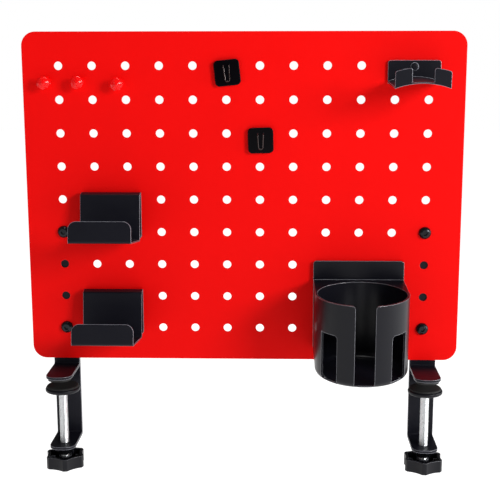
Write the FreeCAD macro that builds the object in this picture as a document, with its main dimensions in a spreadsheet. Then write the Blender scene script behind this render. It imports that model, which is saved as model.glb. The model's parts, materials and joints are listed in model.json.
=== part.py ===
import FreeCAD, Part

# Magnetic pegboard on two desk clamps, with its magnetic accessories.
#
# Millimetres, +Z up, the front faces -Y and +X is to the right as one looks at the front.
# The origin is on the desk's rear edge: midway between the clamps, level with the desk's top
# (the underside of the upper jaw pads), on the plane where the edge meets the clamp spines.

import math
import os
from types import SimpleNamespace

import Sketcher

os.makedirs("parts", exist_ok=True)
doc = FreeCAD.newDocument("pegboard_station")
Vector = FreeCAD.Vector
TOUCH = 1e-4  # mm within which two places count as the same

# ---------------------------------------------------------------------------
# Driving sizes
# ---------------------------------------------------------------------------

SIZES = [
    ("panel_width", 500, "pegboard, left to right"),
    ("panel_height", 380, "pegboard, top to bottom"),
    ("panel_sheet", 1.5, "pegboard steel"),
    ("panel_corner", 16, "pegboard corner radius"),
    ("panel_lift", 13.5, "pegboard's lower edge above the desk"),
    ("peg_pitch", 38, "peg hole to peg hole, both ways"),
    ("peg_bore", 9.5, "peg hole diameter"),
    ("peg_columns", 12, "holes in a row"),
    ("peg_rows", 9, "holes in a column"),
    ("strap_width", 30, "uprights and clamp brackets"),
    ("strap_sheet", 3, "uprights and clamp brackets, steel"),
    ("strap_bend", 2, "inner bend radius of the straps"),
    ("strap_corner", 12, "corner radius of jaws and arms"),
    ("strap_top_corner", 4, "corner radius of an upright's top end"),
    ("strap_outboard", 2, "straps' centre line outboard of the end columns of holes"),
    ("strap_end", 19, "strap beyond its last screw"),
    ("jaw_reach", 59.5, "upper jaw, forward of the spine"),
    ("arm_reach", 52, "lower arm, forward of the spine"),
    ("throat", 81, "jaw pad's underside down to the lower arm"),
    ("pad_sheet", 3, "jaw pad"),
    ("pad_inset", 2, "jaw pad inside the jaw's edges"),
    ("pad_clear", 7, "jaw pad clear of the spine"),
    ("bracket_end", 14, "bracket above the lower screw"),
    ("rivet_shank", 5, "rivet diameter"),
    ("rivet_head", 9, "rivet tail diameter"),
    ("rivet_rise", 2, "rivet tail height"),
    ("rivet_gap", 16, "rivet to rivet"),
    ("rivet_level", 25, "rivets above the desk"),
    ("slack", 0.05, "radial clearance of what turns or slides"),
    ("loose", 0.3, "radial clearance of screws and rivets"),
    ("screw_thread", 8, "panel screw diameter"),
    ("screw_room", 0.75, "radial room of a panel screw in the pegboard"),
    ("screw_length", 16, "panel screw under its head"),
    ("screw_head", 14, "panel screw head diameter"),
    ("screw_head_rise", 4.4, "panel screw head height"),
    ("screw_head_rim", 1.2, "straight rim of the panel screw head"),
    ("screw_head_flat", 7.4, "flat on top of the panel screw head"),
    ("screw_key", 5, "hexagon key across flats"),
    ("screw_key_depth", 2.6, "hexagon socket depth"),
    ("washer_rim", 16, "washer diameter"),
    ("washer_sheet", 1.6, "washer thickness"),
    ("nut_flats", 13, "nut across flats"),
    ("nut_rise", 6.5, "nut height"),
    ("rod_thread", 10, "clamp screw diameter"),
    ("rod_reach", 31, "clamp screw axis, forward of the spine"),
    ("rod_neck", 7, "turned-down end of the clamp screw"),
    ("rod_peen", 10, "peened end that keeps the disc on"),
    ("peen_rise", 1.2, "peened end's height"),
    ("arm_room", 0.5, "radial room of the clamp screw in the lower arm"),
    ("bush_top", 25, "clamp bush at the arm"),
    ("bush_lip", 1, "wall of the clamp bush at its lower end"),
    ("bush_collar", 3, "straight part of the clamp bush"),
    ("bush_rise", 11.7, "clamp bush height"),
    ("disc_gap", 11.3, "open clamp, from disc pad to jaw pad"),
    ("disc_rim", 40, "pressure disc diameter"),
    ("disc_sheet", 5, "pressure disc thickness"),
    ("disc_round", 2, "rounding of the disc's edges"),
    ("disc_pad_rim", 37, "disc pad diameter"),
    ("disc_pad_sheet", 2, "disc pad thickness"),
    ("knob_tip", 46.8, "star knob across its lobes"),
    ("knob_waist", 39.6, "star knob between its lobes"),
    ("knob_scoop", 30, "radius of the hollows between lobes"),
    ("knob_lobes", 6, "lobes of the star knob"),
    ("knob_rise", 14, "star knob height"),
    ("knob_drop", 11.8, "star knob's top below the lower arm"),
    ("knob_well", 10, "depth of the star knob's hollow top"),
    ("knob_wall", 2.8, "wall round the hollow top"),
    ("knob_hub_wall", 2, "wall of the hub at the bottom of the hollow"),
    ("knob_hub_rise", 7.5, "hub above the hollow's floor"),
    ("knob_edge", 1.2, "rounding of the knob's lobes"),
    ("knob_rib", 1.8, "thickness of the ribs in the hollow"),
    ("knob_rib_gap", 5, "hub to the ribs"),
    ("knob_rib_drop", 2.5, "ribs below the knob's top"),
    ("knob_turn_left", -20, "degrees from the front to a lobe, left knob"),
    ("knob_turn_right", 27, "degrees from the front to a lobe, right knob"),
    ("magnet_sheet", 1.5, "rubber magnet behind an accessory"),
    ("cup_right", 133.5, "cup holder, right of the middle"),
    ("cup_level", 111, "cup holder's bend above the desk"),
    ("cup_plate_width", 104.7, "cup holder's back plate"),
    ("cup_plate_sheet", 3, "cup holder's back plate thickness"),
    ("cup_plate_rise", 21.9, "back plate above the bend"),
    ("cup_plate_corner", 3.6, "back plate's corners"),
    ("cup_tilt", 2.5, "degrees the cup hangs forward"),
    ("cup_outside", 104, "cup's outer diameter"),
    ("cup_wall", 2.5, "cup's wall, floor and shelf"),
    ("cup_height", 92.3, "cup, rim to underside"),
    ("cup_reach", 60, "cup's axis forward of its back plate"),
    ("cup_round", 8, "rounding under the cup"),
    ("cup_skirt", 83.5, "side walls below the rim"),
    ("cup_slot", 22, "handle slot"),
    ("cup_slot_corner", 3.5, "handle slot's upper corners"),
    ("window_top", 35.5, "cup windows below the rim"),
    ("window_near", 35, "degrees from the front to a window"),
    ("window_far", 62, "degrees from the front to its far side"),
    ("window_corner", 4, "cup window's upper corners"),
    ("cup_notch", 4, "slot and windows into the floor's edge"),
    ("cradle_left", 152, "controller cradles, left of the middle"),
    ("cradle_level", 213, "upper cradle's top above the desk"),
    ("cradle_step", 114, "upper cradle to lower cradle"),
    ("cradle_width", 68.5, "controller cradle"),
    ("cradle_sheet", 1.5, "controller cradle steel"),
    ("cradle_bend", 1, "inner bend radius of the cradle"),
    ("cradle_back", 55.5, "cradle's rear flange"),
    ("cradle_ledge", 11.7, "cradle's top ledge"),
    ("cradle_ledge_fall", 11.3, "degrees the ledge falls forward"),
    ("cradle_rest", 51.5, "cradle's leaning plate"),
    ("cradle_tray", 70, "cradle's tray"),
    ("cradle_lip", 22.5, "cradle's front lip"),
    ("cradle_lip_corner", 9, "lip's upper corners"),
    ("cradle_back_corner", 5, "rear flange's lower corners"),
    ("cradle_tilt", 8, "degrees the cradle leans back"),
    ("cradle_magnet_inset", 4, "magnet inside the cradle's rear flange"),
    ("hanger_right", 191.7, "headphone hanger, right of the middle"),
    ("hanger_drop", 32.2, "headphone hanger's top below the pegboard's top"),
    ("hanger_width", 59, "headphone hanger's back plate"),
    ("hanger_rise", 25.5, "headphone hanger's back plate height"),
    ("hanger_sheet", 1.5, "headphone hanger steel"),
    ("hanger_corner", 3, "back plate's upper corners"),
    ("hanger_reach", 76, "saddle, forward of the back plate"),
    ("hanger_slope", 3, "degrees the saddle falls forward"),
    ("saddle_radius", 86, "radius over the saddle"),
    ("saddle_crown", 7.5, "saddle's crown above the plate's lower edge"),
    ("flap_gap", 23, "between the two upturned flaps"),
    ("flap_rise", 15.5, "upturned flaps above the saddle"),
    ("flap_corner", 2.5, "flaps' corners"),
    ("hanger_rivet_head", 9.6, "rivet that holds the hanger's magnet"),
    ("hanger_rivet_rise", 0.8, "its head's height"),
    ("hanger_rivet_drop", 7, "its place below the plate's top"),
    ("clip_size", 29, "cable clip's square plate"),
    ("clip_sheet", 3, "cable clip's plate thickness"),
    ("clip_corner", 5, "cable clip's corners"),
    ("clip_edge", 0.8, "rounding of the plate's front edge"),
    ("clip_magnet_inset", 1.5, "magnet inside the clip's edges"),
    ("clip_wire", 1.2, "hook wire diameter"),
    ("clip_stand", 6.5, "hook wire's axis in front of the plate"),
    ("clip_top", 8, "hook's root above the clip's middle"),
    ("clip_foot", 9.5, "hook's lower end below the clip's middle"),
    ("clip_spread", 6.4, "between the wire's roots"),
    ("clip_bight", 4.4, "between the wires at the lower end"),
    ("clip_wire_bend", 2.1, "wire's bend radius, on its axis"),
    ("pin_base", 13.8, "push pin's base diameter"),
    ("pin_waist", 8, "push pin's waist diameter"),
    ("pin_head", 15.2, "push pin's head diameter"),
    ("pin_length", 15, "push pin, panel to tip"),
    ("pin_magnet", 8, "push pin's magnet diameter"),
    ("pin_magnet_sheet", 2, "push pin's magnet thickness"),
]


def as_size(number):
    """A bare number as a Size, so that sizes and numbers mix in sums."""
    return number if isinstance(number, Size) else Size(number, repr(float(number)))


class Size:
    """A number together with the expression that ties it to the sheet."""

    def __init__(self, value, text):
        self.value = value
        self.text = text

    def joined(self, sign, other, result):
        return Size(result, f"({self.text} {sign} {other.text})")

    def __add__(self, other):
        other = as_size(other)
        return self.joined("+", other, self.value + other.value)

    def __sub__(self, other):
        other = as_size(other)
        return self.joined("-", other, self.value - other.value)

    def __mul__(self, other):
        other = as_size(other)
        return self.joined("*", other, self.value * other.value)

    def __truediv__(self, other):
        other = as_size(other)
        return self.joined("/", other, self.value / other.value)

    def __radd__(self, other):
        return as_size(other) + self

    def __rsub__(self, other):
        return as_size(other) - self

    def __rmul__(self, other):
        return as_size(other) * self

    def __neg__(self):
        return Size(-self.value, f"(-1 * {self.text})")


def sine(angle):
    angle = as_size(angle)
    return Size(math.sin(math.radians(angle.value)), f"sin({angle.text} * 1 deg)")


def cosine(angle):
    angle = as_size(angle)
    return Size(math.cos(math.radians(angle.value)), f"cos({angle.text} * 1 deg)")


def tangent(angle):
    angle = as_size(angle)
    return Size(math.tan(math.radians(angle.value)), f"tan({angle.text} * 1 deg)")


def write_sheet():
    """Put every driving size into the spreadsheet and hand them back by name."""
    sheet = doc.addObject("Spreadsheet::Sheet", "Sizes")
    named = {}
    for line, (alias, value, meaning) in enumerate(SIZES, start=1):
        sheet.set(f"A{line}", alias)
        sheet.set(f"B{line}", str(value))
        sheet.set(f"C{line}", meaning)
        sheet.setAlias(f"B{line}", alias)
        named[alias] = Size(value, f"Sizes.{alias}")
    doc.recompute()
    return SimpleNamespace(**named)


size = write_sheet()

# ---------------------------------------------------------------------------
# Helpers: bodies, sketches and features bound to the sheet
# ---------------------------------------------------------------------------

ACROSS = {"XY_Plane": ("x", "y"), "XZ_Plane": ("x", "z"), "YZ_Plane": ("y", "z")}
nodes = []


def bind(thing, prop, amount):
    """Tie a property to the sheet."""
    thing.setExpression(prop, as_size(amount).text)


def new_body(name):
    body = doc.addObject("PartDesign::Body", name)
    body.Label = name
    return body


def node(thing, name=None):
    """Mark an object as one of the pieces that are written out."""
    if name:
        thing.Label = name
    nodes.append(thing)
    return thing


def place(thing, x=None, y=None, z=None):
    """Tie an object's place to the sheet."""
    for axis, amount in (("x", x), ("y", y), ("z", z)):
        if amount is not None:
            bind(thing, f"Placement.Base.{axis}", amount)


def turn(thing, axis, angle):
    """Turn an object about an axis through its own origin, by an angle tied to the sheet."""
    thing.Placement = FreeCAD.Placement(Vector(), FreeCAD.Rotation(axis, as_size(angle).value))
    thing.setExpression("Placement.Rotation.Angle", f"{as_size(angle).text} * 1 deg")


def new_sketch(body, name, role, offset=0):
    """A sketch on one of the body's own origin planes, moved along the plane's normal."""
    sketch = body.newObject("Sketcher::SketchObject", name)
    plane = next(f for f in body.Origin.OriginFeatures if f.Role == role)
    sketch.AttachmentSupport = [(plane, "")]
    sketch.MapMode = "FlatFace"
    bind(sketch, "AttachmentOffset.Base.z", offset)
    return sketch


def hold(sketch, element, corner, x, y):
    """Hold one point of a sketch at its distances from the origin."""
    for kind, axis, amount in (("DistanceX", -2, x), ("DistanceY", -1, y)):
        amount = as_size(amount)
        if amount.value == 0:
            sketch.addConstraint(Sketcher.Constraint("PointOnObject", element, corner, axis))
        else:
            place_held = Sketcher.Constraint(kind, -1, 1, element, corner, amount.value)
            bind(sketch, f"Constraints[{sketch.addConstraint(place_held)}]", amount)


def outline(sketch, corners):
    """A closed outline of straight lines through the corners."""
    at = [Vector(as_size(x).value, as_size(y).value, 0) for x, y in corners]
    first = sketch.GeometryCount
    count = len(at)
    for i in range(count):
        sketch.addGeometry(Part.LineSegment(at[i], at[(i + 1) % count]), False)
    for i in range(count):
        joint = (first + i, 2, first + (i + 1) % count, 1)
        sketch.addConstraint(Sketcher.Constraint("Coincident", *joint))
    for i, (x, y) in enumerate(corners):
        hold(sketch, first + i, 1, x, y)


def rectangle(sketch, left, low, right, high):
    outline(sketch, [(left, low), (right, low), (right, high), (left, high)])


def circle(sketch, diameter, x=0, y=0):
    radius = as_size(diameter) / 2
    centre = Vector(as_size(x).value, as_size(y).value, 0)
    ring = sketch.addGeometry(Part.Circle(centre, Vector(0, 0, 1), radius.value), False)
    held = sketch.addConstraint(Sketcher.Constraint("Radius", ring, radius.value))
    bind(sketch, f"Constraints[{held}]", radius)
    hold(sketch, ring, 3, x, y)


def band(sketch, middle, inner, outer, left, right):
    """A stretch of a ring about (0, middle) between two upright cuts."""
    inner, outer, left, right = (as_size(a) for a in (inner, outer, left, right))
    centre = Vector(0, as_size(middle).value, 0)
    upright = Vector(0, 0, 1)

    def on_ring(radius, x):
        return Vector(x.value, centre.y + math.sqrt(radius.value**2 - x.value**2), 0)

    arcs = []
    for radius in (outer, inner):
        whole = Part.Circle(centre, upright, radius.value)
        ends = [math.acos(x.value / radius.value) for x in (right, left)]
        arc = sketch.addGeometry(Part.ArcOfCircle(whole, *ends), False)
        held = sketch.addConstraint(Sketcher.Constraint("Radius", arc, radius.value))
        bind(sketch, f"Constraints[{held}]", radius)
        hold(sketch, arc, 3, 0, middle)
        arcs.append(arc)
    for end, x in ((1, right), (2, left)):
        cut = Part.LineSegment(on_ring(outer, x), on_ring(inner, x))
        side = sketch.addGeometry(cut, False)
        sketch.addConstraint(Sketcher.Constraint("Coincident", side, 1, arcs[0], end))
        sketch.addConstraint(Sketcher.Constraint("Coincident", side, 2, arcs[1], end))
        for corner in (1, 2):
            across = Sketcher.Constraint("DistanceX", -1, 1, side, corner, x.value)
            bind(sketch, f"Constraints[{sketch.addConstraint(across)}]", x)


def pad(body, sketch, length, name="pad"):
    feature = body.newObject("PartDesign::Pad", name)
    feature.Profile = sketch
    bind(feature, "Length", length)
    doc.recompute()
    return feature


def pocket(body, sketch, depth=None, name="pocket", backwards=False):
    """Cut a sketch out of the body; the volume has to fall."""
    before = body.Shape.Volume
    feature = body.newObject("PartDesign::Pocket", name)
    feature.Profile = sketch
    feature.Reversed = backwards
    if depth is None:
        feature.Type = "ThroughAll"
    else:
        bind(feature, "Length", depth)
    doc.recompute()
    assert feature.Shape.Volume < before - TOUCH, f"{body.Label} {name} cut nothing"
    return feature


def revolve(body, sketch, axis="V_Axis", name="turned"):
    feature = body.newObject("PartDesign::Revolution", name)
    feature.Profile = sketch
    feature.ReferenceAxis = (sketch, [axis])
    feature.Angle = 360
    doc.recompute()
    return feature


def edges_where(feature, test):
    return [f"Edge{i}" for i, e in enumerate(feature.Shape.Edges, start=1) if test(e)]


def runs_along(edge, axis):
    """True for a straight edge parallel to the named axis."""
    if not isinstance(edge.Curve, Part.Line):
        return False
    return abs(getattr(edge.Curve.Direction, axis)) > 1 - TOUCH


def edges_at(feature, axis, places):
    """Straight edges along an axis that pass through the given places across it."""
    others = [a for a in "xyz" if a != axis]
    wanted = [[as_size(a).value for a in spot] for spot in places]

    def near(edge):
        point = edge.CenterOfMass
        here = [getattr(point, a) for a in others]
        return runs_along(edge, axis) and any(math.dist(here, spot) < 0.01 for spot in wanted)

    return edges_where(feature, near)


def fillet(body, feature, edges, radius, name="rounding"):
    assert edges, f"{body.Label} {name} found no edges"
    rounding = body.newObject("PartDesign::Fillet", name)
    rounding.Base = (feature, edges)
    bind(rounding, "Radius", radius)
    doc.recompute()
    return rounding


def plate(name, plane_role, offset, box, thickness, corner=None):
    """A flat plate: a rectangle on a plane, padded, with its four corners rounded."""
    body = new_body(name)
    outline_sketch = new_sketch(body, f"{name}_outline", plane_role, offset)
    rectangle(outline_sketch, *box)
    slab = pad(body, outline_sketch, thickness)
    if corner is not None:
        normal = next(a for a in "xyz" if a not in ACROSS[plane_role])
        fillet(body, slab, edges_where(slab, lambda e: runs_along(e, normal)), corner)
    return body


def strip(start, runs, thickness):
    """Corners of a bent strip seen from its edge.

    The face is followed run by run, each a length and a heading in degrees, and the other
    side lies one thickness to the left of it, with mitred corners. Also gives the corners
    that lie inside the bends and those outside them.
    """
    face = [start]
    for length, heading in runs:
        x, y = face[-1]
        face.append((x + length * cosine(heading), y + length * sine(heading)))
    headings = [as_size(heading) for _, heading in runs]
    back, inside, outside = [], [], []
    for i, (x, y) in enumerate(face):
        before = headings[max(i - 1, 0)]
        after = headings[min(i, len(runs) - 1)]
        spread = 1 + cosine(after - before)
        left = thickness * (sine(before) + sine(after)) / spread
        up = thickness * (cosine(before) + cosine(after)) / spread
        back.append((x - left, y + up))
        if 0 < i < len(runs):
            to_left = math.sin(math.radians(after.value - before.value)) > 0
            inside.append(back[-1] if to_left else face[i])
            outside.append(face[i] if to_left else back[-1])
    return face + back[::-1], inside, outside


def bent_sheet(name, start, runs, thickness, width, bend):
    """A strip of sheet bent along lines that run across it, centred on X = 0."""
    body = new_body(name)
    corners, inside, outside = strip(start, runs, thickness)
    profile = new_sketch(body, f"{name}_profile", "YZ_Plane", -width / 2)
    outline(profile, corners)
    feature = pad(body, profile, width)
    feature = fillet(body, feature, edges_at(feature, "x", inside), bend, "inside_bends")
    outer_bend = bend + thickness
    feature = fillet(body, feature, edges_at(feature, "x", outside), outer_bend, "outside_bends")
    return body, feature


def lathe(name, profile, about="z"):
    """A turned piece from half its section: (radius, height) about Z, or (place, radius) about Y."""
    body = new_body(name)
    role, axis = ("XZ_Plane", "V_Axis") if about == "z" else ("YZ_Plane", "H_Axis")
    section = new_sketch(body, f"{name}_section", role)
    outline(section, profile)
    revolve(body, section, axis)
    return body


def together(name, pieces):
    """Identical pieces as one group of separate solids."""
    group = doc.addObject("Part::Compound", name)
    group.Links = pieces
    return node(group, name)


def joined(name, pieces):
    """Pieces of one casting, moulding or folded sheet, merged into one solid."""
    whole = doc.addObject("Part::MultiFuse", name)
    whole.Shapes = pieces
    whole.Refine = True
    return whole


# ---------------------------------------------------------------------------
# Places that several pieces share
# ---------------------------------------------------------------------------

panel_back = -size.strap_sheet
panel_front = panel_back - size.panel_sheet
panel_middle = size.panel_lift + size.panel_height / 2
column_edge = size.peg_pitch * (size.peg_columns - 1) / 2
strap_middle = column_edge + size.strap_outboard
row_top = panel_middle + size.peg_pitch * (size.peg_rows - 1) / 2
hanger_top = size.panel_lift + size.panel_height - size.hanger_drop
screw_levels = {"upper": row_top - 5 * size.peg_pitch, "lower": row_top - 8 * size.peg_pitch}
jaw_top = size.pad_sheet + size.strap_sheet
arm_under = -size.throat - size.strap_sheet
SIDES = {"left": -1, "right": 1}
bolt_bore = size.screw_thread + 2 * size.loose
disc_top = -size.disc_gap - size.disc_pad_sheet
disc_under = disc_top - size.disc_sheet
knob_top = arm_under - size.knob_drop
knob_floor = knob_top - size.knob_well
knob_under = knob_top - size.knob_rise

# ---------------------------------------------------------------------------
# Pegboard
# ---------------------------------------------------------------------------


def make_panel():
    """One steel sheet with rounded corners and a full grid of peg holes."""
    half = size.panel_width / 2
    top = size.panel_lift + size.panel_height
    box = (-half, size.panel_lift, half, top)
    body = plate("pegboard_panel", "XZ_Plane", -panel_back, box, size.panel_sheet, size.panel_corner)
    screw_holes = new_sketch(body, "screw_holes", "XZ_Plane", -panel_front)
    for column in (-column_edge, column_edge):
        for level in screw_levels.values():
            circle(screw_holes, size.screw_thread + 2 * size.screw_room, column, level)
    pocket(body, screw_holes, name="screw_holes_cut")
    first_hole = new_sketch(body, "first_peg_hole", "XZ_Plane", -panel_front)
    circle(first_hole, size.peg_bore, -column_edge, row_top)
    hole = pocket(body, first_hole, name="peg_hole")
    grid = body.newObject("PartDesign::MultiTransform", "peg_grid")
    grid.Originals = [hole]
    directions = (("along_row", "H_Axis", size.peg_columns, False),)
    directions += (("down_column", "V_Axis", size.peg_rows, True),)
    patterns = []
    for name, axis, count, backwards in directions:
        pattern = body.newObject("PartDesign::LinearPattern", name)
        pattern.Direction = (first_hole, [axis])
        pattern.Reversed = backwards
        bind(pattern, "Length", size.peg_pitch * (count - 1))
        bind(pattern, "Occurrences", count)
        patterns.append(pattern)
    grid.Transformations = patterns
    body.Tip = grid
    doc.recompute()
    return node(body)


# ---------------------------------------------------------------------------
# Uprights and clamps
# ---------------------------------------------------------------------------


def make_upright(side):
    """A flat strap behind the panel that bends forward into the upper jaw."""
    top = screw_levels["upper"] + size.strap_end
    runs = [(top - jaw_top, -90), (size.jaw_reach - size.strap_sheet, -180)]
    sheet = (size.strap_sheet, size.strap_width, size.strap_bend)
    body, strap = bent_sheet(f"{side}_upright", (panel_back, top), runs, *sheet)
    half = size.strap_width / 2
    jaw_ends = edges_at(strap, "z", [(x, -size.jaw_reach) for x in (-half, half)])
    strap = fillet(body, strap, jaw_ends, size.strap_corner, "jaw_corners")
    top_ends = edges_at(strap, "y", [(x, top) for x in (-half, half)])
    strap = fillet(body, strap, top_ends, size.strap_top_corner, "top_corners")
    holes = new_sketch(body, "strap_holes", "XZ_Plane", -panel_back)
    for level in screw_levels.values():
        circle(holes, bolt_bore, -SIDES[side] * size.strap_outboard, level)
    for reach in (-size.rivet_gap / 2, size.rivet_gap / 2):
        circle(holes, size.rivet_shank + 2 * size.slack, reach, size.rivet_level)
    pocket(body, holes, size.strap_sheet, "strap_holes_cut")
    place(body, x=SIDES[side] * strap_middle)
    return node(body)


def make_bracket(side):
    """The strap behind the upright that runs down as the spine and forward as the lower arm."""
    top = screw_levels["lower"] + size.bracket_end
    runs = [(top + size.throat, -90), (size.arm_reach, -180)]
    sheet = (size.strap_sheet, size.strap_width, size.strap_bend)
    body, strap = bent_sheet(f"{side}_clamp_bracket", (as_size(0), top), runs, *sheet)
    half = size.strap_width / 2
    arm_ends = edges_at(strap, "z", [(x, -size.arm_reach) for x in (-half, half)])
    strap = fillet(body, strap, arm_ends, size.strap_corner, "arm_corners")
    top_ends = edges_at(strap, "y", [(x, top) for x in (-half, half)])
    fillet(body, strap, top_ends, size.strap_top_corner, "top_corners")
    holes = new_sketch(body, "spine_holes", "XZ_Plane", 0)
    circle(holes, bolt_bore, -SIDES[side] * size.strap_outboard, screw_levels["lower"])
    for reach in (-size.rivet_gap / 2, size.rivet_gap / 2):
        circle(holes, size.rivet_shank + 2 * size.slack, reach, size.rivet_level)
    pocket(body, holes, name="spine_holes_cut")
    arm_hole = new_sketch(body, "arm_hole", "XY_Plane", -size.throat)
    circle(arm_hole, size.rod_thread + 2 * size.arm_room, 0, -size.rod_reach)
    pocket(body, arm_hole, name="arm_hole_cut")
    place(body, x=SIDES[side] * strap_middle)
    return node(body)


def make_jaw_pad(side):
    """The rubber pad glued under the upper jaw."""
    half = size.strap_width / 2 - size.pad_inset
    box = (-half, -size.jaw_reach + size.pad_inset, half, -size.pad_clear)
    corner = size.strap_corner - size.pad_inset
    body = plate(f"{side}_jaw_pad", "XY_Plane", 0, box, size.pad_sheet, corner)
    place(body, x=SIDES[side] * strap_middle)
    return node(body)


def make_rivets():
    """Four rivets that hold the brackets to the uprights, flush in front and domed behind."""
    shank = size.rivet_shank / 2
    tail = size.rivet_head / 2
    behind = size.strap_sheet
    dome = behind + size.rivet_rise
    pieces = []
    for side, sign in SIDES.items():
        for number, reach in enumerate((-0.5, 0.5), start=1):
            profile = [(panel_back, 0), (dome, 0), (dome, tail / 2), (behind + size.rivet_rise / 2, tail)]
            profile += [(behind, tail), (behind, shank), (panel_back, shank)]
            rivet = lathe(f"{side}_rivet_{number}", profile, about="y")
            place(rivet, x=sign * strap_middle + reach * size.rivet_gap, z=size.rivet_level)
            pieces.append(rivet)
    return together("bracket_rivets", pieces)


def at_screws(build):
    """Build one fastener at each of the four panel screws and give the list."""
    pieces = []
    for side, sign in SIDES.items():
        for height, level in screw_levels.items():
            behind = as_size(0) if height == "upper" else size.strap_sheet
            piece = build(f"{side}_{height}", behind)
            place(piece, x=sign * column_edge, z=level)
            pieces.append(piece)
    return pieces


def make_panel_screws():
    """Button-head screws with a hexagon socket, heads on the panel's front."""
    head = size.screw_head / 2
    front = panel_front - size.screw_head_rise
    dome = size.screw_head_rise - size.screw_head_rim
    slope = (head - size.screw_head_flat / 2) / 4
    crown = [(panel_front - size.screw_head_rim - dome * 0.5, head - slope)]
    crown += [(panel_front - size.screw_head_rim - dome * 0.85, head - 2.4 * slope)]

    def build(label, behind):
        tip = panel_front + size.screw_length
        profile = [(front, 0), (tip, 0), (tip, size.screw_thread / 2), (panel_front, size.screw_thread / 2)]
        profile += [(panel_front, head), (panel_front - size.screw_head_rim, head)]
        profile += crown + [(front, size.screw_head_flat / 2)]
        screw = lathe(f"{label}_screw", profile, about="y")
        key = new_sketch(screw, f"{label}_socket", "XZ_Plane", -front)
        radius = size.screw_key / 2 / cosine(30)
        outline(key, [(radius * cosine(60 * k), radius * sine(60 * k)) for k in range(6)])
        pocket(screw, key, size.screw_key_depth)
        return screw

    return together("panel_screws", at_screws(build))


def make_washers():
    def build(label, behind):
        far = behind + size.washer_sheet
        inner = bolt_bore / 2
        rim = size.washer_rim / 2
        profile = [(behind, inner), (far, inner), (far, rim), (behind, rim)]
        return lathe(f"{label}_washer", profile, about="y")

    return together("panel_washers", at_screws(build))


def make_nuts():
    """Hexagon nuts behind the washers; the screw's thread is drawn as a plain shank."""

    def build(label, behind):
        near = behind + size.washer_sheet
        nut = new_body(f"{label}_nut")
        radius = size.nut_flats / 2 / cosine(30)
        flats = new_sketch(nut, f"{label}_flats", "XZ_Plane", -near - size.nut_rise)
        outline(flats, [(radius * cosine(60 * k), radius * sine(60 * k)) for k in range(6)])
        circle(flats, size.screw_thread + 2 * size.slack)
        pad(nut, flats, size.nut_rise)
        return nut

    return together("panel_nuts", at_screws(build))


# ---------------------------------------------------------------------------
# Clamp screws
# ---------------------------------------------------------------------------


def on_rod_axis(thing, side):
    place(thing, x=SIDES[side] * strap_middle, y=-size.rod_reach)


def make_bush(side):
    """The threaded bush under the lower arm, drawn at the thread's mean running fit."""
    bore = size.rod_thread / 2 + size.slack / 2
    collar = arm_under - size.bush_collar
    foot = arm_under - size.bush_rise
    top, low = size.bush_top / 2, size.rod_thread / 2 + size.bush_lip
    belly = (0.3 * low + 0.7 * top, 0.55 * foot + 0.45 * collar)
    profile = [(bore, arm_under), (top, arm_under), (top, collar), belly, (low, foot), (bore, foot)]
    body = lathe(f"{side}_clamp_bush", profile)
    on_rod_axis(body, side)
    return node(body)


def make_disc(side):
    """The pressure disc, with a bore for the screw's neck and a pocket for its peened end."""
    bore = size.rod_neck / 2 + size.slack
    well = size.rod_peen / 2 + 10 * size.slack
    well_floor = disc_top - size.peen_rise - 4 * size.slack
    rim = size.disc_rim / 2
    profile = [(bore, disc_under), (rim, disc_under), (rim, disc_top), (well, disc_top)]
    profile += [(well, well_floor), (bore, well_floor)]
    body = lathe(f"{side}_pressure_disc", profile)

    def on_rim(edge):
        round_edge = isinstance(edge.Curve, Part.Circle)
        return round_edge and abs(edge.Curve.Radius - rim.value) < TOUCH

    fillet(body, body.Tip, edges_where(body.Tip, on_rim), size.disc_round)
    on_rod_axis(body, side)
    return node(body)


def make_disc_pad(side):
    """The rubber pad glued on top of the pressure disc."""
    rim = size.disc_pad_rim / 2
    top = -size.disc_gap
    profile = [(0, disc_top), (rim, disc_top), (rim, top - size.disc_pad_sheet / 2)]
    profile += [(rim - size.disc_pad_sheet / 2, top), (0, top)]
    body = lathe(f"{side}_disc_pad", profile)
    on_rod_axis(body, side)
    return node(body)


def make_rod(side):
    """The clamp screw, from its peened end in the disc to the knob, thread drawn plain."""
    thread = size.rod_thread / 2 - size.slack / 2
    neck = size.rod_neck / 2
    peen = size.rod_peen / 2
    peen_top = disc_top - 2 * size.slack
    peen_under = peen_top - size.peen_rise
    shoulder = disc_under - 2 * size.slack
    tip = thread - 1
    foot = knob_under + size.knob_wall
    profile = [(0, foot), (tip, foot), (thread, foot + 1), (thread, shoulder), (neck, shoulder)]
    profile += [(neck, peen_under), (peen, peen_under), (peen, peen_top), (0, peen_top)]
    body = lathe(f"{side}_clamp_screw", profile)
    on_rod_axis(body, side)
    return node(body)


def star(name, wall, low, height):
    """A six-lobed block about Z: a drum with a round scoop taken out between lobes."""
    drum = new_body(f"{name}_drum")
    ring = new_sketch(drum, f"{name}_ring", "XY_Plane", low)
    circle(ring, size.knob_tip - 2 * wall)
    block = pad(drum, ring, height)
    scoop = new_sketch(drum, f"{name}_scoop", "XY_Plane", low + height)
    away = size.knob_waist / 2 + size.knob_scoop
    circle(scoop, 2 * (size.knob_scoop + wall), 0, away)
    first = pocket(drum, scoop, height, "scoop")
    around = drum.newObject("PartDesign::PolarPattern", "scoops")
    around.Originals = [first]
    around.Axis = (scoop, ["N_Axis"])
    around.Angle = 360
    bind(around, "Occurrences", size.knob_lobes)
    drum.Tip = around
    doc.recompute()
    assert around.Shape.Volume < block.Shape.Volume
    return drum, around


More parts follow.
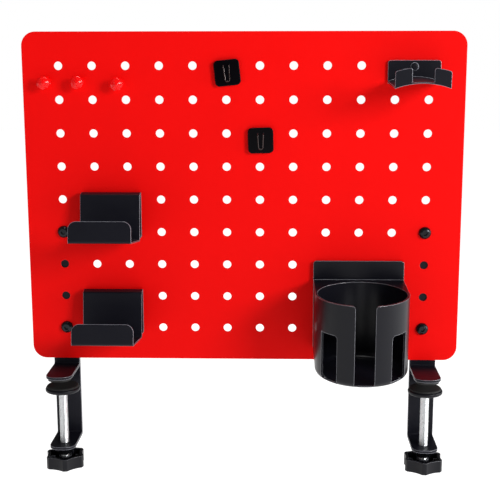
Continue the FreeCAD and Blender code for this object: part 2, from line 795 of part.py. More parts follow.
def make_knob(side):
    """A star knob, hollow on top, with a hub that grips the screw's lower end."""
    name = f"{side}_star_knob"
    outer, lobes = star(f"{name}_outside", as_size(0), knob_under, size.knob_rise)
    upright_edges = edges_where(lobes, lambda e: runs_along(e, "z"))
    fillet(outer, lobes, upright_edges, size.knob_edge)
    well, _ = star(f"{name}_well", size.knob_wall, knob_floor, size.knob_well)
    hub = new_body(f"{name}_hub")
    hub_ring = new_sketch(hub, f"{name}_hub_ring", "XY_Plane", knob_under)
    circle(hub_ring, size.rod_thread + 2 * size.knob_hub_wall)
    floor = size.knob_rise - size.knob_well
    pad(hub, hub_ring, floor + size.knob_hub_rise)
    socket = new_body(f"{name}_socket")
    socket_ring = new_sketch(socket, f"{name}_socket_ring", "XY_Plane", knob_under + size.knob_wall)
    circle(socket_ring, size.rod_thread)
    pad(socket, socket_ring, size.knob_rise)
    ribs = new_body(f"{name}_ribs")
    rib_outline = new_sketch(ribs, f"{name}_rib_outline", "XY_Plane", knob_under)
    near = size.rod_thread / 2 + size.knob_hub_wall + size.knob_rib_gap
    far = size.knob_waist / 2 - size.knob_wall / 2
    rectangle(rib_outline, -size.knob_rib / 2, near, size.knob_rib / 2, far)
    first_rib = pad(ribs, rib_outline, size.knob_rise - size.knob_rib_drop)
    spread = ribs.newObject("PartDesign::PolarPattern", "ribs_around")
    spread.Originals = [first_rib]
    spread.Axis = (rib_outline, ["N_Axis"])
    spread.Angle = 360
    bind(spread, "Occurrences", size.knob_lobes)
    ribs.Tip = spread
    doc.recompute()
    hollow = doc.addObject("Part::Cut", f"{name}_hollow")
    hollow.Base, hollow.Tool = outer, well
    solid = joined(f"{name}_solid", [hollow, hub, ribs])
    knob = doc.addObject("Part::Cut", name)
    knob.Base, knob.Tool = solid, socket
    # a lobe of the star faces -Y when the scoops sit 30 degrees either side of it
    angle = getattr(size, f"knob_turn_{side}")
    turn(knob, Vector(0, 0, 1), angle)
    on_rod_axis(knob, side)
    return node(knob, name)


# ---------------------------------------------------------------------------
# Cup holder
# ---------------------------------------------------------------------------

cup_plate_back = panel_front - size.magnet_sheet
cup_plate_front = cup_plate_back - size.cup_plate_sheet


def make_cup_shell():
    """The moulded cup with its shelf and side walls, in its own frame: the origin is the
    middle of the bend, where the shelf's top meets the back plate's front."""
    body = new_body("cup_shell")
    outer = size.cup_outside / 2
    wall = size.cup_wall
    axis = -size.cup_reach
    into_plate = size.cup_plate_sheet / 2

    frame = new_sketch(body, "frame_outline", "XY_Plane", -size.cup_skirt)
    rectangle(frame, -outer, axis, outer, into_plate)
    pad(body, frame, size.cup_skirt, "frame")
    under = new_sketch(body, "under_shelf_outline", "XY_Plane", -size.cup_skirt)
    rectangle(under, wall - outer, axis, outer - wall, 0)
    pocket(body, under, size.cup_skirt - wall, "under_shelf", backwards=True)

    drum = new_sketch(body, "drum_outline", "XY_Plane", -size.cup_height)
    circle(drum, size.cup_outside, 0, axis)
    cup = pad(body, drum, size.cup_height, "drum")
    foot = -size.cup_height.value

    def under_cup(edge):
        low = abs(edge.BoundBox.ZMax - foot) < TOUCH and abs(edge.BoundBox.ZMin - foot) < TOUCH
        return low and isinstance(edge.Curve, Part.Circle)

    cup = fillet(body, cup, edges_where(cup, under_cup), size.cup_round, "under_cup")
    inside = new_sketch(body, "cavity_outline", "XY_Plane", 0)
    circle(inside, size.cup_outside - 2 * wall, 0, axis)
    depth = size.cup_height - wall
    cavity = pocket(body, inside, depth, "cavity")
    cup_floor = -depth.value

    def round_floor(edge):
        low = abs(edge.BoundBox.ZMax - cup_floor) < TOUCH and abs(edge.BoundBox.ZMin - cup_floor) < TOUCH
        return low and isinstance(edge.Curve, Part.Circle)

    floor_edges = edges_where(cavity, round_floor)
    fillet(body, cavity, floor_edges, size.cup_round - wall, "inside_cup")

    slot = new_sketch(body, "slot_outline", "XY_Plane", 0)
    half_slot = size.cup_slot / 2
    rectangle(slot, -half_slot, axis - size.cup_outside, half_slot, axis - outer / 2)
    cup = pocket(body, slot, depth, "slot")

    windows = new_sketch(body, "window_outline", "XY_Plane", -size.window_top)
    near, far = size.window_near, size.window_far
    inner_reach, outer_reach = outer / 2, size.cup_outside
    for sign in (-1, 1):
        wedge = [(inner_reach, near), (outer_reach, near), (outer_reach, far), (inner_reach, far)]
        outline(windows, [(sign * reach * sine(a), axis - reach * cosine(a)) for reach, a in wedge])
    cup = pocket(body, windows, depth - size.window_top, "windows")

    def slot_corner(edge):
        middle = edge.CenterOfMass
        level = abs(middle.z) < TOUCH
        return runs_along(edge, "y") and level and abs(abs(middle.x) - half_slot.value) < TOUCH

    notches = new_sketch(body, "notch_outline", "XY_Plane", -depth)
    inner_reach = outer - size.cup_notch
    for sign in (-1, 1):
        wedge = [(inner_reach, near), (outer_reach, near), (outer_reach, far), (inner_reach, far)]
        outline(notches, [(sign * reach * sine(a), axis - reach * cosine(a)) for reach, a in wedge])
    rectangle(notches, -half_slot, axis - size.cup_outside, half_slot, axis - inner_reach)
    cup = pocket(body, notches, wall, "notches")

    cup = fillet(body, cup, edges_where(cup, slot_corner), size.cup_slot_corner, "slot_corners")
    spread = math.sin(math.radians(near.value)) * (outer.value - wall.value / 2)

    def window_corner(edge):
        middle = edge.CenterOfMass
        level = abs(middle.z + size.window_top.value) < TOUCH
        straight = isinstance(edge.Curve, Part.Line) and edge.Length < 2 * wall.value
        return level and straight and abs(abs(middle.x) - spread) < 1

    fillet(body, cup, edges_where(cup, window_corner), size.window_corner, "window_corners")
    turn(body, Vector(1, 0, 0), size.cup_tilt)
    place(body, x=size.cup_right, y=cup_plate_front, z=size.cup_level)

    # the tilted side walls stop inside the upright back plate
    behind = new_body("behind_cup_plate")
    rear = new_sketch(behind, "behind_cup_outline", "XZ_Plane", -cup_plate_front - into_plate)
    reach = size.cup_outside
    rectangle(rear, -reach, size.cup_level - 2 * reach, reach, size.cup_level + reach)
    pad(behind, rear, size.cup_outside)
    place(behind, x=size.cup_right, y=size.cup_outside)
    trimmed = doc.addObject("Part::Cut", "cup_shell_trimmed")
    trimmed.Base, trimmed.Tool = body, behind
    return trimmed


def make_cup_holder():
    half = size.cup_plate_width / 2
    low = size.cup_level - size.cup_skirt
    high = size.cup_level + size.cup_plate_rise
    box = (-half, low, half, high)
    back = plate(
        "cup_back_plate", "XZ_Plane", -cup_plate_back, box, size.cup_plate_sheet, size.cup_plate_corner
    )
    place(back, x=size.cup_right)
    node(joined("cup_holder", [back, make_cup_shell()]), "cup_holder")
    inset = size.cup_plate_corner
    box = (inset - half, low + inset, half - inset, high - inset)
    magnet = plate("cup_holder_magnet", "XZ_Plane", -panel_front, box, size.magnet_sheet)
    place(magnet, x=size.cup_right)
    node(magnet)


# ---------------------------------------------------------------------------
# Controller cradles
# ---------------------------------------------------------------------------


def make_cradle(name, top):
    """One folded sheet: rear flange, ledge, leaning plate, tray and lip, in one J section."""
    back_face = panel_front - size.magnet_sheet
    start = (back_face, top - size.cradle_back)
    tilt = size.cradle_tilt
    runs = [
        (size.cradle_back, 90),
        (size.cradle_ledge, 180 + size.cradle_ledge_fall),
        (size.cradle_rest, 270 - tilt),
        (size.cradle_tray, 180 - tilt),
        (size.cradle_lip, 90 - tilt),
    ]
    width = size.cradle_width
    body, sheet = bent_sheet(
        f"{name}_cradle", start, runs, size.cradle_sheet, width, size.cradle_bend
    )
    lip_top = sheet.Shape.BoundBox.YMin + size.cradle_tray.value / 2
    low_end = (top - size.cradle_back).value

    def short_edge(edge):
        return isinstance(edge.Curve, Part.Line) and abs(edge.Length - size.cradle_sheet.value) < TOUCH

    def lip_corner(edge):
        in_lip = edge.CenterOfMass.y < lip_top
        return short_edge(edge) and in_lip

    def back_corner(edge):
        return short_edge(edge) and abs(edge.CenterOfMass.z - low_end) < TOUCH

    sheet = fillet(body, sheet, edges_where(sheet, lip_corner), size.cradle_lip_corner, "lip_corners")
    fillet(body, sheet, edges_where(sheet, back_corner), size.cradle_back_corner, "back_corners")
    place(body, x=-size.cradle_left)
    node(body)

    inset = size.cradle_magnet_inset
    half = width / 2 - inset
    box = (-half, top - size.cradle_back + inset, half, top - inset)
    magnet = plate(f"{name}_cradle_magnet", "XZ_Plane", -panel_front, box, size.magnet_sheet)
    place(magnet, x=-size.cradle_left)
    node(magnet)


# ---------------------------------------------------------------------------
# Headphone hanger
# ---------------------------------------------------------------------------


def make_hanger():
    """A back plate with an arched saddle that ends in two upturned flaps."""
    half = size.hanger_width / 2
    steel = size.hanger_sheet
    back_face = panel_front - size.magnet_sheet
    low = hanger_top - size.hanger_rise
    box = (-half, low, half, hanger_top)
    back = new_body("hanger_back_plate")
    face = new_sketch(back, "hanger_outline", "XZ_Plane", -back_face)
    rectangle(face, *box)
    slab = pad(back, face, steel)
    upper = edges_at(slab, "y", [(x, hanger_top) for x in (-half, half)])
    rounded = fillet(back, slab, upper, size.hanger_corner)
    rivet_level = hanger_top - size.hanger_rivet_drop
    hole = new_sketch(back, "hanger_rivet_hole", "XZ_Plane", -back_face + steel)
    rivet_bore = size.hanger_rivet_head / 2 + 2 * size.slack
    circle(hole, rivet_bore, 0, rivet_level)
    pocket(back, hole, name="hanger_rivet_hole_cut")
    assert rounded.Shape.isValid()
    place(back, x=size.hanger_right)

    # the saddle's own frame: its origin is on the plate's back face, under the crown
    saddle = new_body("hanger_saddle")
    top_radius = size.saddle_radius
    middle = size.saddle_crown - top_radius
    arch = new_sketch(saddle, "saddle_arch", "XZ_Plane", 0)
    band(arch, middle, top_radius - steel, top_radius, -half, half)
    pad(saddle, arch, size.hanger_reach + steel, "saddle_sheet")
    flaps = new_sketch(saddle, "flap_outlines", "XZ_Plane", size.hanger_reach)
    gap = size.flap_gap / 2
    flap_top = top_radius + size.flap_rise
    for left, right in ((-half, -gap), (gap, half)):
        band(flaps, middle, top_radius - steel, flap_top, left, right)
    raised = pad(saddle, flaps, steel, "flaps")
    top_level = middle.value + top_radius.value + size.flap_rise.value / 3

    def flap_corner(edge):
        return runs_along(edge, "y") and edge.CenterOfMass.z > top_level

    fillet(saddle, raised, edges_where(raised, flap_corner), size.flap_corner, "flap_corners")
    turn(saddle, Vector(1, 0, 0), size.hanger_slope)
    place(saddle, x=size.hanger_right, y=back_face, z=low)
    node(joined("headphone_hanger", [back, saddle]), "headphone_hanger")

    inset = size.hanger_corner
    box = (inset - half, low + inset, half - inset, hanger_top - inset)
    magnet = plate("hanger_magnet", "XZ_Plane", -panel_front, box, size.magnet_sheet)
    seat = new_sketch(magnet, "hanger_magnet_hole", "XZ_Plane", -back_face)
    circle(seat, rivet_bore, 0, rivet_level)
    pocket(magnet, seat, name="hanger_magnet_hole_cut")
    place(magnet, x=size.hanger_right)
    node(magnet)

    shank = size.hanger_rivet_head / 4
    head = size.hanger_rivet_head / 2
    front = back_face - steel
    tip = panel_front - 4 * size.slack
    crown = front - size.hanger_rivet_rise
    profile = [(crown, 0), (tip, 0), (tip, shank), (front, shank), (front, head)]
    profile += [(front - size.hanger_rivet_rise / 2, head * 0.85), (crown, head * 0.45)]
    rivet = lathe("hanger_rivet", profile, about="y")
    place(rivet, x=size.hanger_right, z=rivet_level)
    node(rivet)


# ---------------------------------------------------------------------------
# Cable clips
# ---------------------------------------------------------------------------

# clip: right of the middle, above the panel's middle, degrees turned
CLIPS = {"cable_clip_1": (-17.8, 144.2, 6), "cable_clip_2": (19.9, 68.4, 1.5)}


def wire_path(points, radius):
    """Straight runs through the points, joined by tangent arcs of one radius."""
    edges = []
    at = points[0]
    for i in range(1, len(points) - 1):
        corner = points[i]
        back = (points[i - 1] - corner).normalize()
        ahead = (points[i + 1] - corner).normalize()
        half_angle = back.getAngle(ahead) / 2
        run = radius / math.tan(half_angle)
        start = corner + back * run
        end = corner + ahead * run
        bisector = (back + ahead).normalize()
        middle = corner + bisector * (radius / math.sin(half_angle) - radius)
        if at.distanceToPoint(start) > TOUCH:
            edges.append(Part.LineSegment(at, start).toShape())
        edges.append(Part.Arc(start, middle, end).toShape())
        at = end
    edges.append(Part.LineSegment(at, points[-1]).toShape())
    return Part.Wire(edges)


def make_clip(name, right, above, angle):
    """A square plate with rounded corners that carries a hairpin hook of spring wire."""
    magnet_front = panel_front - size.magnet_sheet
    face = magnet_front - size.clip_sheet
    level = panel_middle + above
    half = size.clip_size / 2
    edge = as_size(angle)

    def settle(thing):
        turn(thing, Vector(0, 1, 0), -edge)
        place(thing, x=as_size(right), z=level)
        return node(thing)

    square = (-half, -half, half, half)
    corner = size.clip_corner
    body = plate(f"{name}_plate", "XZ_Plane", -magnet_front, square, size.clip_sheet, corner)
    rounded = body.Tip

    def on_face(e):
        return abs(e.BoundBox.YMin - face.value) < TOUCH and abs(e.BoundBox.YMax - face.value) < TOUCH

    fillet(body, rounded, edges_where(rounded, on_face), size.clip_edge, "front_edge")
    roots = new_sketch(body, f"{name}_roots", "XZ_Plane", -face)
    for sign in (-0.5, 0.5):
        circle(roots, size.clip_wire + 2 * size.slack, sign * size.clip_spread, size.clip_top)
    pocket(body, roots, name="wire_roots")
    settle(body)

    inset = half - size.clip_magnet_inset
    square = (-inset, -inset, inset, inset)
    magnet = plate(f"{name}_magnet", "XZ_Plane", -panel_front, square, size.magnet_sheet, corner)
    settle(magnet)

    spread, bight = size.clip_spread.value / 2, size.clip_bight.value / 2
    out = (face - size.clip_stand).value
    root = magnet_front.value
    top, foot = size.clip_top.value, -size.clip_foot.value
    points = [
        Vector(-spread, root, top),
        Vector(-spread, out, top),
        Vector(-bight, out, foot),
        Vector(bight, out, foot),
        Vector(spread, out, top),
        Vector(spread, root, top),
    ]
    path = wire_path(points, size.clip_wire_bend.value)
    section = Part.Wire(Part.makeCircle(size.clip_wire.value / 2, points[0], Vector(0, -1, 0)))
    hook = doc.addObject("Part::Feature", f"{name}_hook")
    hook.Shape = path.makePipeShell([section], True, True)
    hook.Label = f"{name}_hook"
    settle(hook)


# ---------------------------------------------------------------------------
# Push pins
# ---------------------------------------------------------------------------

# pin: left of the middle, above the panel's middle
PINS = {"push_pin_1": (224.3, 133.1), "push_pin_2": (186.5, 133.5), "push_pin_3": (141.9, 131.7)}


def make_pin(name, left, above):
    """A diabolo-shaped magnetic push pin, its magnet let into the base."""
    base, waist, head = size.pin_base / 2, size.pin_waist / 2, size.pin_head / 2
    seat = size.pin_magnet / 2 + size.slack
    tip = size.pin_length

    def out(distance):
        return panel_front - distance

    depth = size.pin_magnet_sheet
    profile = [
        (out(tip), 0),
        (out(depth), 0),
        (out(depth), seat),
        (out(0), seat),
        (out(0), base - 0.4),
        (out(0.5), base),
        (out(2.2), base),
        (out(3.6), base - 1.1),
        (out(5.4), waist),
        (out(tip - 5.8), waist),
        (out(tip - 4.2), head - 1.2),
        (out(tip - 3.2), head),
        (out(tip - 1.9), head),
        (out(tip - 1.1), head - 0.9),
        (out(tip - 1.0), head - 2.0),
        (out(tip - 1.5), head - 2.3),
        (out(tip - 1.4), head - 3.3),
        (out(tip - 0.4), head - 4.0),
    ]
    body = lathe(f"{name}_body", profile, about="y")
    magnet = lathe(
        f"{name}_magnet",
        [(out(depth), 0), (out(0), 0), (out(0), size.pin_magnet / 2), (out(depth), size.pin_magnet / 2)],
        about="y",
    )
    for piece in (body, magnet):
        place(piece, x=as_size(-left), z=panel_middle + above)
        node(piece)


# ---------------------------------------------------------------------------
# The whole station
# ---------------------------------------------------------------------------

make_panel()
for side in SIDES:
    for make in (make_upright, make_bracket, make_jaw_pad, make_bush):
        make(side)
    for make in (make_disc, make_disc_pad, make_rod, make_knob):
        make(side)
make_rivets()
make_panel_screws()
make_washers()
make_nuts()
make_cup_holder()
make_cradle("upper", size.cradle_level)
make_cradle("lower", size.cradle_level - size.cradle_step)
make_hanger()
for clip, (right, above, angle) in CLIPS.items():
    make_clip(clip, right, above, angle)
for pin, (left, above) in PINS.items():
    make_pin(pin, left, above)

doc.recompute()
for thing in doc.Objects:
    assert not {"Invalid", "Error"} & set(thing.State), f"{thing.Label} failed: {thing.State}"
for thing in nodes:
    shape = thing.Shape
    assert not shape.isNull() and shape.isValid(), f"{thing.Label} has no valid shape"
    assert shape.Solids and shape.Volume > 0, f"{thing.Label} holds no solid"
    shape.exportStep(f"parts/{thing.Label}.step")
    print(f"{thing.Label:24s} {len(shape.Solids)} solid(s), {shape.Volume / 1000:9.3f} cm3")
print(len(nodes), "nodes")
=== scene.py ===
# %% [markdown]
# # A magnetic pegboard on two desk clamps
# This lesson finishes a pegboard that clamps to the rear edge of a desk. The engineering
# model already gives every sheet, screw and clamp its true size and place, so nothing is
# placed by eye here. We load it, give every piece the finish it has in real life, swap the
# clamp screws and the push pins for finer surfaces, and light it as in a small studio.

import json
import math

import bpy
import numpy as np
from mathutils import Matrix, Vector


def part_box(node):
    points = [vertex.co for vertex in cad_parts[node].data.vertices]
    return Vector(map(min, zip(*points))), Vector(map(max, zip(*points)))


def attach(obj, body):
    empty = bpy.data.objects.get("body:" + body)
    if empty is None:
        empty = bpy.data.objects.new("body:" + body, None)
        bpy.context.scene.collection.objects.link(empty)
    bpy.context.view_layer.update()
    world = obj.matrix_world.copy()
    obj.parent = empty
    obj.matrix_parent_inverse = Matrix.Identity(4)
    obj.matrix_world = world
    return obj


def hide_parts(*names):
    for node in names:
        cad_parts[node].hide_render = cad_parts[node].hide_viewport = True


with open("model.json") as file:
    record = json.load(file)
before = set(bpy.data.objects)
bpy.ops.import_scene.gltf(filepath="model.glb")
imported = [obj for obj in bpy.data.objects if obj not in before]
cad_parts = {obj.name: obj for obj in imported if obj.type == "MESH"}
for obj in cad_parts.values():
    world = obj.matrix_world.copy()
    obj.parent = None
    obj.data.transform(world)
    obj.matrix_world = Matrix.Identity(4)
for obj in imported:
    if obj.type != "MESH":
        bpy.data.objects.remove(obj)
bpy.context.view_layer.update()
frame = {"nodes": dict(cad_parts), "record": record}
nodes = frame["nodes"]
MM = 0.001

# %% [markdown]
# ## Colour and nodes
# Paint charts and screens give colours as sRGB hex values, while the renderer adds light in
# linear numbers. One function turns the first into the second. A second small function adds
# one shader node, sets its values and joins its inputs, so that each finish below reads as a
# short recipe.

# %% Colour and node helpers


def linear(code):
    """sRGB hex to linear RGBA: c / 12.92 below 0.04045, else ((c + 0.055) / 1.055) ** 2.4."""
    srgb = np.array([int(code[i : i + 2], 16) for i in (1, 3, 5)]) / 255
    low, high = srgb / 12.92, ((srgb + 0.055) / 1.055) ** 2.4
    return (*np.where(srgb <= 0.04045, low, high).tolist(), 1.0)


def add(tree, kind, inputs, **settings):
    """Add one node. A number, colour or vector is set on a socket, another node's output is linked."""
    node = tree.nodes.new(kind)
    for name, value in settings.items():
        setattr(node, name, value)
    for name, value in inputs.items():
        if isinstance(value, bpy.types.NodeSocket):
            tree.links.new(value, node.inputs[name])
        else:
            node.inputs[name].default_value = value
    return node


def new_finish(name, colour, **shader):
    """A material whose shader sockets hold plain numbers; underscores stand for spaces."""
    material = bpy.data.materials.new(name)
    material.use_nodes = True
    tree = material.node_tree
    surface = tree.nodes["Principled BSDF"]
    surface.inputs["Base Color"].default_value = linear(colour)
    for socket, value in shader.items():
        surface.inputs[socket.replace("_", " ")].default_value = value
    place = add(tree, "ShaderNodeTexCoord", {}).outputs["Object"]
    return material, tree, surface, place


def per_metre(size_mm):
    """How many cells of a pattern fit in a metre when one cell is size_mm across."""
    return 1000 / size_mm


# Most of a noise texture's values lie between these two, so a range is stretched from them.
NOISE_LOW = 0.3
NOISE_HIGH = 0.7
print("the board's red, linear:", [round(c, 3) for c in linear("#f00a09")[:3]])

# %% [markdown]
# ## Powder coat
# Powder coat is a polyester film baked on to steel. It flows out almost smooth and keeps a
# faint orange peel of low hills about two millimetres apart, with a much finer sparkle of
# grain on the satin blacks. A noise texture at those two scales drives a weak bump, a third
# and larger one shifts the gloss and the colour a little, as a hand-sprayed film varies.
#
# Along cut edges and bends the film is glossier, and its colour is painted paler: a painted highlight.
# An edge is wherever the surface, looked at through a small rounding, faces another way than
# it does without. The dot product of the two normals is 1 on a flat and falls towards an
# edge, so stretching that fall to the range 0 to 1 gives a soft mask.

# %% Powder coat on steel
EDGE_STARTS = 0.995
EDGE_FULL = 0.92
DRIFT_MM = 70
FILM_MM = 9
GRAIN_MM = 0.7
GRAIN_SHARE = 0.25


def edge_mask(tree, round_mm):
    """n . b stretched to 0..1, where n is the plain normal and b the one rounded by round_mm."""
    plain = add(tree, "ShaderNodeNewGeometry", {}).outputs["Normal"]
    soft = add(tree, "ShaderNodeBevel", {"Radius": round_mm * MM}, samples=8).outputs["Normal"]
    alike = add(tree, "ShaderNodeVectorMath", {0: plain, 1: soft}, operation="DOT_PRODUCT")
    turned = add(
        tree,
        "ShaderNodeMapRange",
        {"Value": alike.outputs["Value"], "From Min": EDGE_STARTS, "From Max": EDGE_FULL},
    )
    return turned.outputs["Result"], soft


def painted_edge_highlight(tree, surface, mask, colour, rough, edge):
    """Blend to the edge's own (colour, shine, roughness) by the mask; the paler colour is a painted
    highlight.
    """
    highlight_colour, edge_shine, edge_rough = edge
    # Painted highlight: the base colour turns paler towards edges.
    highlighted = add(tree, "ShaderNodeMix", {"Factor": mask, "A": colour, "B": linear(highlight_colour)}, data_type="RGBA")
    tree.links.new(highlighted.outputs["Result"], surface.inputs["Base Color"])
    gloss = add(tree, "ShaderNodeMix", {"Factor": mask, "A": rough, "B": edge_rough})
    tree.links.new(gloss.outputs["Result"], surface.inputs["Roughness"])
    shine = surface.inputs["Specular IOR Level"].default_value
    sheen = add(tree, "ShaderNodeMix", {"Factor": mask, "A": shine, "B": edge_shine})
    tree.links.new(sheen.outputs["Result"], surface.inputs["Specular IOR Level"])


def powder_coat(name, colour, deeper, gloss, shine, peel_mm, peel_height_mm, round_mm, edge):
    """Colour drifts between two close values, roughness round its middle, bump is peel plus grain."""
    material, tree, surface, place = new_finish(name, colour, IOR=1.5, Specular_IOR_Level=shine)
    drift = add(tree, "ShaderNodeTexNoise", {"Vector": place, "Scale": per_metre(DRIFT_MM), "Detail": 2.0})
    tint = add(
        tree,
        "ShaderNodeMix",
        {"Factor": drift.outputs["Fac"], "A": linear(deeper), "B": linear(colour)},
        data_type="RGBA",
    )
    film = add(tree, "ShaderNodeTexNoise", {"Vector": place, "Scale": per_metre(FILM_MM), "Detail": 3.0})
    low, high = gloss
    rough = add(
        tree,
        "ShaderNodeMapRange",
        {
            "Value": film.outputs["Fac"],
            "From Min": NOISE_LOW,
            "From Max": NOISE_HIGH,
            "To Min": low,
            "To Max": high,
        },
    )
    mask, softened = edge_mask(tree, round_mm)
    painted_edge_highlight(tree, surface, mask, tint.outputs["Result"], rough.outputs["Result"], edge)
    peel = add(tree, "ShaderNodeTexNoise", {"Vector": place, "Scale": per_metre(peel_mm), "Detail": 1.0})
    grain = add(tree, "ShaderNodeTexNoise", {"Vector": place, "Scale": per_metre(GRAIN_MM), "Detail": 2.0})
    hills = add(
        tree,
        "ShaderNodeMath",
        {0: grain.outputs["Fac"], 1: GRAIN_SHARE, 2: peel.outputs["Fac"]},
        operation="MULTIPLY_ADD",
    )
    bump = add(
        tree,
        "ShaderNodeBump",
        {
            "Height": hills.outputs["Value"],
            "Strength": 1.0,
            "Distance": peel_height_mm * MM,
            "Normal": softened,
        },
    )
    tree.links.new(bump.outputs["Normal"], surface.inputs["Normal"])
    return material


red_coat = powder_coat(
    "red_polyester_powder_coat",
    colour="#f00a09",
    deeper="#ea0908",
    gloss=(0.42, 0.52),
    shine=0.05,
    peel_mm=2.2,
    peel_height_mm=0.012,
    round_mm=0.5,
    # The edge colour is a painted highlight.
    edge=("#f42a26", 0.3, 0.35),
)
black_coat = powder_coat(
    "black_polyester_powder_coat",
    colour="#15151d",
    deeper="#111118",
    gloss=(0.34, 0.42),
    shine=0.15,
    peel_mm=2.0,
    peel_height_mm=0.010,
    round_mm=0.9,
    # The edge colour is a painted highlight.
    edge=("#8c8d98", 0.8, 0.3),
)
print("powder coats:", red_coat.name, black_coat.name)

# %% [markdown]
# ## Moulded plastics and rubber
# The cup is ABS from a spark-eroded mould: satin, with a grain of about half a millimetre.
# The knobs are glass-filled nylon, a little rougher. The clips come from a polished mould, so
# their bump is only a very slight sink, a few millimetres wide. The pins are polished acrylic:
# no bump, and a gloss that changes a little from place to place. Rubber is rougher than any of
# them and shows almost no highlight. Edges are glossier, and their colour is painted paler as a painted
# highlight.

# %% Moulded plastics and rubber
GLOSS_DRIFT = 0.08
SHEEN_MM = 25


def moulding(name, colour, roughness, grain_mm, grain_height_mm, round_mm=0.6, edge=None, **shader):
    """A moulded surface: fine grain as bump, a slow change of gloss, and glossier edges with a painted
    highlight if given.
    """
    material, tree, surface, place = new_finish(name, colour, **shader)
    sheen = add(tree, "ShaderNodeTexNoise", {"Vector": place, "Scale": per_metre(SHEEN_MM), "Detail": 2.0})
    rough = add(
        tree,
        "ShaderNodeMapRange",
        {
            "Value": sheen.outputs["Fac"],
            "From Min": NOISE_LOW,
            "From Max": NOISE_HIGH,
            "To Min": roughness * (1 - GLOSS_DRIFT),
            "To Max": roughness * (1 + GLOSS_DRIFT),
        },
    )
    mask, softened = edge_mask(tree, round_mm)
    if edge:
        painted_edge_highlight(tree, surface, mask, linear(colour), rough.outputs["Result"], edge)
    else:
        tree.links.new(rough.outputs["Result"], surface.inputs["Roughness"])
    grain = add(tree, "ShaderNodeTexNoise", {"Vector": place, "Scale": per_metre(grain_mm), "Detail": 3.0})
    bump = add(
        tree,
        "ShaderNodeBump",
        {
            "Height": grain.outputs["Fac"],
            "Strength": 1.0,
            "Distance": grain_height_mm * MM,
            "Normal": softened,
        },
    )
    tree.links.new(bump.outputs["Normal"], surface.inputs["Normal"])
    return material


cup_abs = moulding(
    "satin_abs",
    colour="#0e0e15",
    roughness=0.3,
    grain_mm=0.6,
    grain_height_mm=0.006,
    round_mm=0.8,
    # The edge colour is a painted highlight.
    edge=("#85868e", 0.8, 0.25),
    IOR=1.52,
    Specular_IOR_Level=0.2,
)
knob_nylon = moulding(
    "glass_filled_nylon",
    colour="#0f0f15",
    roughness=0.4,
    grain_mm=0.9,
    grain_height_mm=0.012,
    round_mm=0.8,
    # The edge colour is a painted highlight.
    edge=("#5a5b62", 0.6, 0.35),
    IOR=1.53,
    Specular_IOR_Level=0.2,
)
clip_abs = moulding(
    "polished_abs",
    colour="#040306",
    roughness=0.2,
    grain_mm=6.0,
    grain_height_mm=0.006,
    # The edge colour is a painted highlight.
    edge=("#3c3d44", 0.9, 0.2),
    IOR=1.52,
    Specular_IOR_Level=0.08,
)
pin_acrylic = moulding(
    "red_acrylic",
    colour="#f20a0c",
    roughness=0.18,
    grain_mm=5.0,
    grain_height_mm=0.0,
    round_mm=0.0,
    IOR=1.49,
    Specular_IOR_Level=0.28,
)
pad_rubber = moulding("nitrile_rubber", "#141414", 0.78, grain_mm=0.8, grain_height_mm=0.03, IOR=1.52)
magnet_rubber = moulding("ferrite_rubber", "#201d1c", 0.7, grain_mm=0.5, grain_height_mm=0.02, IOR=1.6)
print("mouldings:", cup_abs.name, knob_nylon.name, clip_abs.name, pin_acrylic.name)

# %% [markdown]
# ## Bare and plated metals
# Zinc plate is bright and slightly cool, with a fine lengthwise draw left from the bar
# stock; the clamp screws have it, and so have the pins' magnets. Black oxide keeps the steel's
# sheen under a near-black skin. The wire hooks are black nickel, dark with sharp glints. A
# metal takes its whole look from its colour and roughness, so its IOR stays as it comes.

# %% Metals
MARK_STRETCH = 25
MARK_SMOOTHEST = 0.75
MARK_ROUGHEST = 1.3


def plated(name, colour, roughness, brush_mm, brush_height_mm, metallic=1.0):
    """Metal with draw marks: noise squeezed across the part, so that it runs along Z."""
    material, tree, surface, place = new_finish(name, colour, Metallic=metallic)
    along = add(tree, "ShaderNodeMapping", {"Vector": place, "Scale": (1.0, 1.0, 1 / MARK_STRETCH)})
    marks = add(
        tree,
        "ShaderNodeTexNoise",
        {"Vector": along.outputs["Vector"], "Scale": per_metre(brush_mm), "Detail": 3.0},
    )
    rough = add(
        tree,
        "ShaderNodeMapRange",
        {
            "Value": marks.outputs["Fac"],
            "From Min": NOISE_LOW,
            "From Max": NOISE_HIGH,
            "To Min": roughness * MARK_SMOOTHEST,
            "To Max": roughness * MARK_ROUGHEST,
        },
    )
    tree.links.new(rough.outputs["Result"], surface.inputs["Roughness"])
    bump = add(
        tree,
        "ShaderNodeBump",
        {"Height": marks.outputs["Fac"], "Strength": 1.0, "Distance": brush_height_mm * MM},
    )
    tree.links.new(bump.outputs["Normal"], surface.inputs["Normal"])
    return material


zinc = plated("bright_zinc_plate", "#fafcfd", 0.3, brush_mm=0.8, brush_height_mm=0.002)
black_oxide = plated(
    "black_oxide_steel", "#242529", 0.2, brush_mm=1.5, brush_height_mm=0.003, metallic=0.75
)
black_nickel = plated("black_nickel_wire", "#4a4544", 0.14, brush_mm=0.6, brush_height_mm=0.002)
print("metals:", zinc.name, black_oxide.name, black_nickel.name)

# %% [markdown]
# ## Dress the engineering pieces
# Most pieces need nothing but their finish: their shape is already the real one. Each piece
# takes the finish of the material slot that the record names for it.

# %% Give every piece its finish
finish_of_slot = {
    "red_coat": red_coat,
    "black_coat": black_coat,
    "pad_rubber": pad_rubber,
    "magnet_sheet": magnet_rubber,
    "bright_zinc": zinc,
    "black_disc": knob_nylon,
    "black_knob": knob_nylon,
    "black_oxide": black_oxide,
    "cup_plastic": cup_abs,
    "clip_plastic": clip_abs,
    "hook_chrome": black_nickel,
    "pin_plastic": pin_acrylic,
    "pin_magnet": zinc,
}
slot_of_node = {part["node"]: part["material_slot"] for part in frame["record"]["subparts"]}
for name, piece in nodes.items():
    piece.data.materials.clear()
    piece.data.materials.append(finish_of_slot[slot_of_node[name]])
print("dressed", len(nodes), "pieces")

